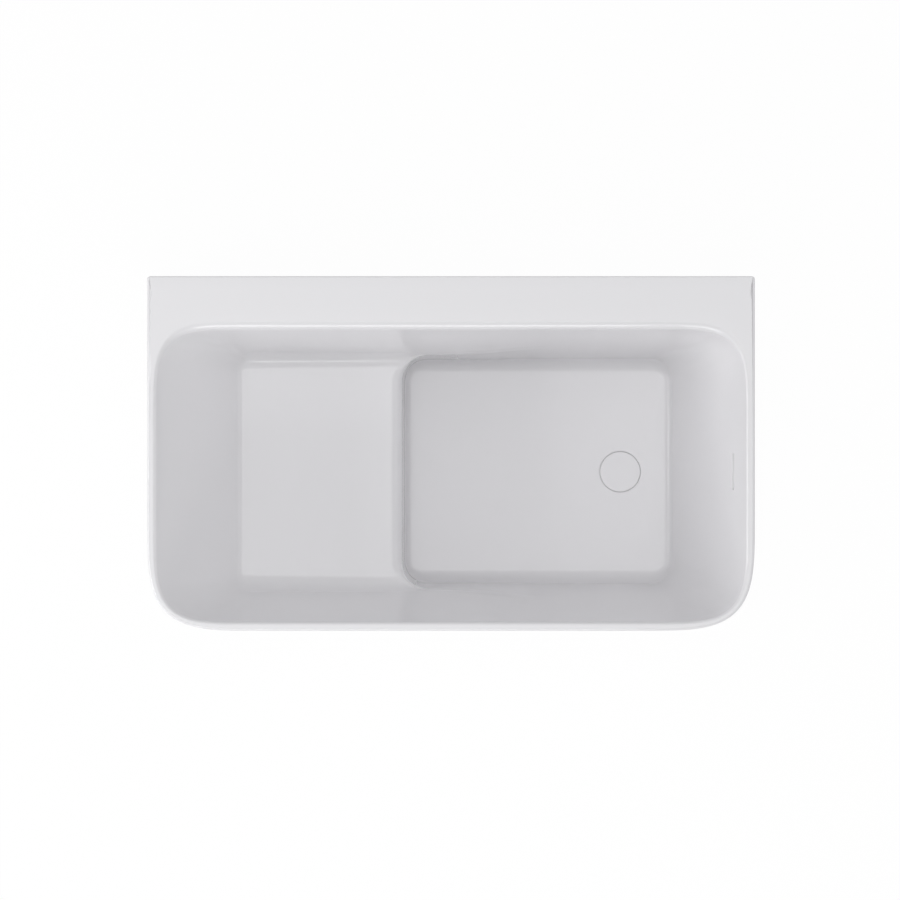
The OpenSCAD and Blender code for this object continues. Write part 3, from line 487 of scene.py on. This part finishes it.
def floor_ring(a, thick=0.0):
    """A ring of the fillet round the footwell's floor. The underside is level below the fall."""
    ring = []
    for i in range(COUNT):
        fillet = mix(FILLET_ENDS, FILLET_SIDES, well_out[i][1] ** 2)
        z = FLOOR_Z + fillet * (1 - math.sin(a))
        p = shift(well_wall(i, z), well_out[i], -fillet * (1 - math.cos(a)))
        drop = FLOOR_FALL * math.sin(a) if thick else 0
        ring.append(place(p, z - drop, well_out[i], a, thick))
    return ring


# The point of a ring in the middle of the drain end, which faces the waste along X
RIGHT_MIDDLE = 2 * (CORNER + 1) + len(beside_seat(0)) + plain_steps + 4


def waste_ring(d, z):
    """A circle round the waste."""
    ring = []
    for i in range(COUNT):
        a = 2 * math.pi * (RIGHT_MIDDLE - i) / COUNT
        x, y = WASTE[0] + d / 2 * math.cos(a), WASTE[1] + d / 2 * math.sin(a)
        ring.append(Vector((x, y, z)) * MM)
    return ring


print("rim rounded by", DECK_OUTER, "to", round(max(inner_edge)), "mm in", len(ROUND), "rings")


# %% [markdown]
# Finishes are built from a Principled shader and noise. The noise reads Object coordinates, which
# are metres here, so it keeps its size on every piece and needs no unwrapping.

# %% Helpers for finishes
def new_finish(name, colour, roughness, metallic=0.0):
    """A Principled material with its even values set on the shader's own sockets."""
    finish = bpy.data.materials.new(name)
    finish.use_nodes = True
    shader = finish.node_tree.nodes["Principled BSDF"]
    shader.inputs["Base Color"].default_value = (*colour, 1)
    shader.inputs["Roughness"].default_value = roughness
    shader.inputs["Metallic"].default_value = metallic
    return finish, finish.node_tree, shader


def add_noise(tree, scale, detail=3.0, stretch=(1, 1, 1)):
    """Noise on Object coordinates, stretched along an axis if wanted."""
    where = tree.nodes.new("ShaderNodeTexCoord")
    mapping = tree.nodes.new("ShaderNodeMapping")
    mapping.inputs["Scale"].default_value = stretch
    noise = tree.nodes.new("ShaderNodeTexNoise")
    noise.inputs["Scale"].default_value = scale
    noise.inputs["Detail"].default_value = detail
    tree.links.new(where.outputs["Object"], mapping.inputs["Vector"])
    tree.links.new(mapping.outputs["Vector"], noise.inputs["Vector"])
    return noise


def spread(tree, noise, socket, low_value, high_value):
    """Turns noise into a range of values on a socket."""
    ramp = tree.nodes.new("ShaderNodeMapRange")
    ramp.inputs["From Min"].default_value = 0.3
    ramp.inputs["From Max"].default_value = 0.7
    ramp.inputs["To Min"].default_value = low_value
    ramp.inputs["To Max"].default_value = high_value
    tree.links.new(noise.outputs["Fac"], ramp.inputs["Value"])
    tree.links.new(ramp.outputs["Result"], socket)


def tint(tree, noise, socket, one, other):
    """Turns noise into a colour between two colours on a socket."""
    blend = tree.nodes.new("ShaderNodeMix")
    blend.data_type = "RGBA"
    factor, colour_a, colour_b = blend.inputs[0], blend.inputs[6], blend.inputs[7]
    mixed = blend.outputs[2]
    colour_a.default_value = (*one, 1)
    colour_b.default_value = (*other, 1)
    tree.links.new(noise.outputs["Fac"], factor)
    tree.links.new(mixed, socket)


def bump(tree, noise, socket, height, strength=1.0):
    """Turns noise into a shallow relief, with its height in metres."""
    relief = tree.nodes.new("ShaderNodeBump")
    relief.inputs["Strength"].default_value = strength
    relief.inputs["Distance"].default_value = height
    tree.links.new(noise.outputs["Fac"], relief.inputs["Height"])
    tree.links.new(relief.outputs["Normal"], socket)


# %% [markdown]
# Cast and sheet acrylic is clear and hard at its surface, so it mirrors the studio sharply while
# the white below scatters. One shader does both: a pale base with a low roughness. Faint noise
# in the roughness and a very shallow swell in the surface keep it from looking computed: a sheet
# that is drawn into a mould is never quite flat.

# %% White acrylic
def white_acrylic():
    """Pale, glossy and a little uneven, with the refractive index of acrylic."""
    finish, tree, shader = new_finish("white_acrylic", (0.905, 0.9, 0.912), 0.03)
    shader.inputs["IOR"].default_value = 1.49
    tint(tree, add_noise(tree, 5.0), shader.inputs["Base Color"],
         (0.9, 0.895, 0.909), (0.91, 0.905, 0.916))
    spread(tree, add_noise(tree, 14.0, 5.0), shader.inputs["Roughness"], 0.02, 0.04)
    bump(tree, add_noise(tree, 3.0, 1.0), shader.inputs["Normal"], 0.0006, 0.25)
    return finish


acrylic = white_acrylic()
print("finish:", acrylic.name)


# %% [markdown]
# Now the rings are put in order: up the underside, over the lip and the rim, down the water side
# and back through the waste hole. Extra rings on the long slopes keep the gloss even.

# %% Skin the shell
SUMP_DEPTH, BOSS_DEPTH = 8.5, 12


def underside():
    """Rings from the floor up to the rim, with fewer steps than the water side has."""
    rings = [floor_ring(a, SHELL) for a in ROUND[::-3]]
    rings += [edge_ring(a, SHELL) for a in ROUND[::-3]]
    rings += [cove_ring(a, SHELL) for a in ROUND[::-3]]
    below_rim = RIM_Z - SHELL
    top = [place(upper_wall(i, below_rim), below_rim, opening_out[i], 0, SHELL)
           for i in range(COUNT)]
    return rings + between(rings[-1], top, 3) + [top]


def lip():
    """The lip that hangs from the rim over the apron, from its inside to its outside."""
    steps = [(LIP, RIM_Z - SHELL), (LIP, LIP_Z + 1), (LIP - 1, LIP_Z), (1, LIP_Z),
             (0.3, LIP_Z + 0.3), (0, LIP_Z + 1)]
    return [outer_ring(inset, z) for inset, z in steps]


def waste_hole():
    """The sump that the cover lies in, the hole, and the boss below it, as diameters and depths.

    The first four rings round off the floor's edge into the sump.
    """
    steps = [(SUMP_D + 12, 0.1), (SUMP_D + 2, 0), (SUMP_D + 0.4, -0.2), (SUMP_D, -0.8),
             (SUMP_D, -SUMP_DEPTH), (HOLE_D, -SUMP_DEPTH), (HOLE_D, -SHELL - BOSS_DEPTH),
             (BOSS_D, -SHELL - BOSS_DEPTH), (BOSS_D, -SHELL)]
    return [waste_ring(d, DRAIN_Z + dz) for d, dz in steps]


def build_shell():
    """The whole moulding: the last ring closes on the first."""
    stretches = [
        (3, [rim_outer_ring(a) for a in ROUND[::-1]]),
        (14, [rim_inner_ring(a) for a in ROUND]),
        (8, [cove_ring(a) for a in ROUND]),
        (12, [edge_ring(a) for a in ROUND]),
        (7, [floor_ring(a) for a in ROUND]),
        (0, waste_hole())]
    rings = underside() + lip()
    for (steps, part), (_, following) in zip(stretches, stretches[1:] + stretches[-1:]):
        rings += part + between(part[-1], following[0], steps)
    bm = bmesh.new()
    skin(bm, rings + [rings[0]])
    print(len(rings), "rings")
    return bm


# %% [markdown]
# The overflow is a narrow slot with round ends. A bar of that shape is pushed through the
# finished shell with a Boolean, because its outline crosses the rings.

# %% Cut the overflow slot
BAR_X, BAR_LENGTH, NEAR_SLOT = 540, 32, 60


def slot_cutter():
    """A bar along X with the slot's narrow round-ended shape, made from one end face."""
    bm = bmesh.new()
    half = (SLOT_L - SLOT_H) / 2
    points = []
    for side in (1, -1):
        for k in range(17):
            a = math.pi * (k / 16 - 0.5) if side > 0 else math.pi * (k / 16 + 0.5)
            points.append((side * half + SLOT_H / 2 * math.cos(a), SLOT_H / 2 * math.sin(a)))
    face = bm.faces.new([bm.verts.new(Vector((BAR_X, WASTE[1] + y, SLOT_Z + z)) * MM)
                         for y, z in points])
    made = bmesh.ops.extrude_face_region(bm, geom=[face])["geom"]
    far = [g for g in made if isinstance(g, bmesh.types.BMVert)]
    bmesh.ops.translate(bm, verts=far, vec=(BAR_LENGTH * MM, 0, 0))
    bmesh.ops.recalc_face_normals(bm, faces=bm.faces)
    mesh = bpy.data.meshes.new("slot_cutter")
    bm.to_mesh(mesh)
    bm.free()
    cutter = bpy.data.objects.new("slot_cutter", mesh)
    bpy.context.scene.collection.objects.link(cutter)
    return cutter


def cut_slot(solid):
    """Cuts the slot and makes its mouth crisp. The rest of the shell stays as it was."""
    cutter = slot_cutter()
    cut = solid.modifiers.new("slot", "BOOLEAN")
    cut.operation = "DIFFERENCE"
    cut.solver = "EXACT"
    cut.object = cutter
    evaluated = solid.evaluated_get(bpy.context.evaluated_depsgraph_get())
    cut_mesh = bpy.data.meshes.new_from_object(evaluated)
    solid.modifiers.clear()
    solid.data = cut_mesh
    bpy.data.objects.remove(cutter)
    mark_crisp_edges(cut_mesh, (OPEN["right"] * MM, 0, SLOT_Z * MM), NEAR_SLOT * MM)


shell = finish_piece(build_shell(), "bath_shell", "root", "basin", acrylic)
cut_slot(shell)
print("shell after the slot:", len(shell.data.polygons), "faces")


# %% [markdown]
# The apron is a second moulding: two ends and a front in one U, leaning in towards the floor,
# 5 mm thick. Its top line is drawn once, extruded down to the foot and given a thickness. A
# bevelled box would be less work, but its corners wouldn't follow the rim's.

# %% Apron
APRON_T, APRON_STEP, APRON_TAPER, APRON_LOW = 5.0, 0.8, 22.0, 6.0
APRON_BEND, BEND_STEPS, APRON_LEVELS = 233, 48, 12


def apron_line(inset, z):
    """The outside line of the apron at a height, from one return at the wall to the other."""
    x, y = LENGTH / 2 - inset, -WIDTH / 2 + inset
    bend = corner(x, y, (1, -1), APRON_BEND, 4, [k / BEND_STEPS for k in range(BEND_STEPS + 1)])
    wall = [(x, WIDTH / 2 - 5 - k * (WIDTH - 240) / 8) for k in range(8)]
    front = [(x - APRON_BEND - k * (x - APRON_BEND) / 6, y) for k in range(1, 7)]
    right = [Vector((p[0], p[1], z)) * MM for p in wall + bend + front]
    left = [Vector((-p.x, p.y, p.z)) for p in right[-2::-1]]
    return right + left


def build_apron():
    """The outside of the apron, extruded downwards from its top line."""
    bm = bmesh.new()
    top = apron_line(APRON_STEP, LIP_Z)
    foot = apron_line(APRON_STEP + APRON_TAPER, APRON_LOW)
    line = [bm.verts.new(p) for p in top]
    edges = [bm.edges.new(pair) for pair in zip(line, line[1:])]
    for k in range(1, APRON_LEVELS + 1):
        made = bmesh.ops.extrude_edge_only(bm, edges=edges)["geom"]
        fresh = {g for g in made if isinstance(g, bmesh.types.BMVert)}
        line = [next(e.other_vert(v) for e in v.link_edges if e.other_vert(v) in fresh)
                for v in line]
        for vert, a, b in zip(line, top, foot):
            vert.co = a.lerp(b, k / APRON_LEVELS)
        edges = [bm.edges.get(pair) for pair in zip(line, line[1:])]
    bmesh.ops.recalc_face_normals(bm, faces=bm.faces)
    return bm


apron_bm = build_apron()
bmesh.ops.solidify(apron_bm, geom=apron_bm.faces[:], thickness=APRON_T * MM)
print("apron:", len(apron_bm.faces), "faces")
finish_piece(apron_bm, "apron_shell", "root", "apron", acrylic)


# %% [markdown]
# The cover over the waste is a thick disc of the bath's own colour with a soft edge and a
# slightly domed top. Half of its section is drawn and spun once round the waste, because a
# bevelled cylinder would have a flat top.

# %% Cover over the waste
SOFT_EDGE, DOME = 1.2, 0.8


def build_cover():
    """Half a section from the middle below to the middle above, spun round the waste."""
    low_z, top_z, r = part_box("drain_cover")[0][2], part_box("drain_cover")[1][2], COVER_D / 2 * MM
    bm = bmesh.new()
    soft = SOFT_EDGE * MM
    edge_z = top_z - DOME * MM
    section = [(0, low_z), (r - 2 * MM, low_z), (r, low_z + 1 * MM)]
    section += [(r - soft * (1 - math.cos(a)), edge_z - soft * (1 - math.sin(a)))
                for a in (0, 0.4, 0.8, 1.2, 1.57)]
    section += [(r * s, mix(top_z, edge_z, s ** 2)) for s in (0.94, 0.85, 0.7, 0.5, 0.3, 0.15, 0)]
    line = [bm.verts.new((WASTE[0] * MM + x, WASTE[1] * MM, z)) for x, z in section]
    edges = [bm.edges.new(pair) for pair in zip(line, line[1:])]
    bmesh.ops.spin(bm, geom=line + edges, cent=(WASTE[0] * MM, WASTE[1] * MM, 0), axis=(0, 0, 1),
                   angle=2 * math.pi, steps=96, use_merge=True)
    return bm


finish_piece(build_cover(), "waste_cover", "cover", "drain_cover", acrylic)
print("cover:", COVER_D, "mm across")


# %% [markdown]
# The hidden pieces keep their solids. Each gets the finish of its stuff: zinc plated tube, bright
# steel, birch board, brass, rubber and moulded plastic. The record names a finish for each node,
# so one dictionary from those names to materials dresses them all.

# %% Finishes of the hidden pieces
def zinc_steel():
    """Zinc plated steel with a cloudy tint and faint drawing marks along X."""
    finish, tree, shader = new_finish("zinc_steel", (0.55, 0.56, 0.58), 0.35, 1.0)
    tint(tree, add_noise(tree, 60.0, 4.0), shader.inputs["Base Color"],
         (0.48, 0.49, 0.51), (0.62, 0.63, 0.64))
    spread(tree, add_noise(tree, 25.0, 4.0, (0.2, 1, 1)), shader.inputs["Roughness"], 0.28, 0.5)
    return finish


def bright_steel():
    """Clean steel for small parts, a little uneven in its gloss."""
    finish, tree, shader = new_finish("bright_steel", (0.72, 0.73, 0.74), 0.2, 1.0)
    spread(tree, add_noise(tree, 300.0, 2.0, (1, 1, 8)), shader.inputs["Roughness"], 0.14, 0.28)
    return finish


def turned_brass():
    """Brass with fine turning marks."""
    finish, tree, shader = new_finish("turned_brass", (0.72, 0.5, 0.22), 0.25, 1.0)
    spread(tree, add_noise(tree, 500.0, 2.0, (1, 1, 10)), shader.inputs["Roughness"], 0.18, 0.34)
    return finish


def board_wood(name, pale, dark, stretch):
    """Wood with grain along the axis that the stretch makes long."""
    finish, tree, shader = new_finish(name, pale, 0.6)
    grain = add_noise(tree, 40.0, 6.0, stretch)
    tint(tree, grain, shader.inputs["Base Color"], dark, pale)
    bump(tree, grain, shader.inputs["Normal"], 0.0003, 0.5)
    return finish


def moulded_plastic(name, colour, rough):
    """Plastic with an uneven gloss and a very fine grain."""
    finish, tree, shader = new_finish(name, colour, rough)
    spread(tree, add_noise(tree, 90.0, 4.0), shader.inputs["Roughness"], rough - 0.05, rough + 0.08)
    bump(tree, add_noise(tree, 900.0, 2.0), shader.inputs["Normal"], 0.00005, 0.4)
    return finish


def seal_rubber():
    """Matt black rubber."""
    finish, tree, shader = new_finish("seal_rubber", (0.02, 0.02, 0.021), 0.7)
    spread(tree, add_noise(tree, 200.0, 3.0), shader.inputs["Roughness"], 0.6, 0.8)
    return finish


finishes = {
    "steel": zinc_steel(), "bright_steel": bright_steel(), "brass": turned_brass(),
    "board": board_wood("birch_board", (0.62, 0.45, 0.27), (0.47, 0.31, 0.17), (0.12, 1, 1)),
    "seal_rubber": seal_rubber(),
    "foot_plastic": moulded_plastic("black_nylon", (0.025, 0.025, 0.027), 0.45),
    "waste_plastic": moulded_plastic("white_pipe_plastic", (0.72, 0.73, 0.74), 0.35),
    "white_acrylic": acrylic}
for part in frame["record"]["subparts"]:
    solid = frame["nodes"][part["node"]]
    for slot in solid.material_slots:
        slot.material = finishes[part["material_slot"]]


# %% [markdown]
# The picture was taken from straight above with no perspective, so the camera is orthographic.
# Its frame is as wide, in metres, as the photograph is at the bath's scale.

# %% Camera
PICTURE_WIDTH = 1.777
PICTURE_MIDDLE = (-0.002, 0.007)

camera_data = bpy.data.cameras.new("camera")
camera_data.type = "ORTHO"
camera_data.ortho_scale = PICTURE_WIDTH
camera_data.clip_end = 20
camera = bpy.data.objects.new("camera", camera_data)
camera.location = (*PICTURE_MIDDLE, 3.0)
bpy.context.scene.collection.objects.link(camera)
bpy.context.scene.camera = camera
print("camera: orthographic,", PICTURE_WIDTH, "m wide")


# %% [markdown]
# The background of the picture is white, but a white room would light the bath until its walls
# had no shades left. So the floor and the sky are white where they are seen, directly or in a
# mirrored view, and dimmer to all other rays. The Light Path node tells these rays apart.

# %% Floor
FLOOR_GLOW, FLOOR_WHITE = 1.012, 0.96


def seen_directly(tree):
    """A value that is 1 for the camera and mirrored or refracted views, and 0 otherwise."""
    path = tree.nodes.new("ShaderNodeLightPath")
    seen = path.outputs["Is Camera Ray"]
    for other in ("Is Glossy Ray", "Is Transmission Ray"):
        either = tree.nodes.new("ShaderNodeMath")
        either.operation = "MAXIMUM"
        tree.links.new(seen, either.inputs[0])
        tree.links.new(path.outputs[other], either.inputs[1])
        seen = either.outputs[0]
    return seen


def pale_floor():
    """A floor that glows white where it is seen, and is only pale where it lights the bath."""
    bm = bmesh.new()
    bmesh.ops.create_grid(bm, x_segments=1, y_segments=1, size=6.0)
    mesh = bpy.data.meshes.new("studio_floor")
    bm.to_mesh(mesh)
    bm.free()
    floor = bpy.data.objects.new("studio_floor", mesh)
    bpy.context.scene.collection.objects.link(floor)
    finish, tree, shader = new_finish("studio_floor", (0.8, 0.8, 0.8), 0.9)
    shader.inputs["Specular IOR Level"].default_value = 0.0
    glow = tree.nodes.new("ShaderNodeEmission")
    glow.inputs["Strength"].default_value = FLOOR_GLOW
    blend = tree.nodes.new("ShaderNodeMixShader")
    share = tree.nodes.new("ShaderNodeMath")
    share.operation = "MULTIPLY"
    share.inputs[1].default_value = FLOOR_WHITE
    tree.links.new(seen_directly(tree), share.inputs[0])
    tree.links.new(share.outputs[0], blend.inputs[0])
    tree.links.new(shader.outputs[0], blend.inputs[1])
    tree.links.new(glow.outputs[0], blend.inputs[2])
    tree.links.new(blend.outputs[0], tree.nodes["Material Output"].inputs["Surface"])
    mesh.materials.append(finish)


pale_floor()
print("floor glow:", FLOOR_GLOW)


# %% [markdown]
# Four soft boxes and a sky light the bath. The key stands low at the left, so that the backrest is
# darker than the wall across from it. The front one lights the back wall, a weak fill lifts the
# shades, and the overhead one brightens the deck, the seat and the floor.

# %% Light
SKY_LIGHT = 0.44


def soft_light(name, place_at, aim, size, power):
    """A square soft box that points at a place, with its size in metres and its power in watts."""
    data = bpy.data.lights.new(name, "AREA")
    data.shape = "SQUARE"
    data.size = size
    data.energy = power
    lamp = bpy.data.objects.new(name, data)
    lamp.location = place_at
    lamp.rotation_euler = (Vector(aim) - Vector(place_at)).to_track_quat("-Z", "Y").to_euler()
    bpy.context.scene.collection.objects.link(lamp)


soft_light("key", (-4.2, -0.8, 2.2), (0.4, 0, 0.4), 2.0, 62)
soft_light("front", (-0.6, -4.2, 2.5), (0, 0.2, 0.4), 2.0, 42)
soft_light("fill", (4.2, 0.4, 2.2), (-0.4, 0, 0.4), 2.0, 16)
soft_light("overhead", (0, 0, 7.0), (0, 0, 0), 3.0, 52)


def studio_sky(light):
    """A sky that lights the bath softly and is white wherever it is seen."""
    world = bpy.data.worlds.new("studio")
    bpy.context.scene.world = world
    world.use_nodes = True
    tree = world.node_tree
    lighting = tree.nodes["Background"]
    lighting.inputs["Color"].default_value = (0.98, 0.98, 1.0, 1)
    lighting.inputs["Strength"].default_value = light
    white = tree.nodes.new("ShaderNodeBackground")
    white.inputs["Color"].default_value = (1, 1, 1, 1)
    blend = tree.nodes.new("ShaderNodeMixShader")
    tree.links.new(seen_directly(tree), blend.inputs[0])
    tree.links.new(lighting.outputs[0], blend.inputs[1])
    tree.links.new(white.outputs[0], blend.inputs[2])
    tree.links.new(blend.outputs[0], tree.nodes["World Output"].inputs["Surface"])


studio_sky(SKY_LIGHT)
bpy.context.scene.view_settings.view_transform = "Standard"
print("lit with", len(bpy.data.lights), "soft boxes and a sky")
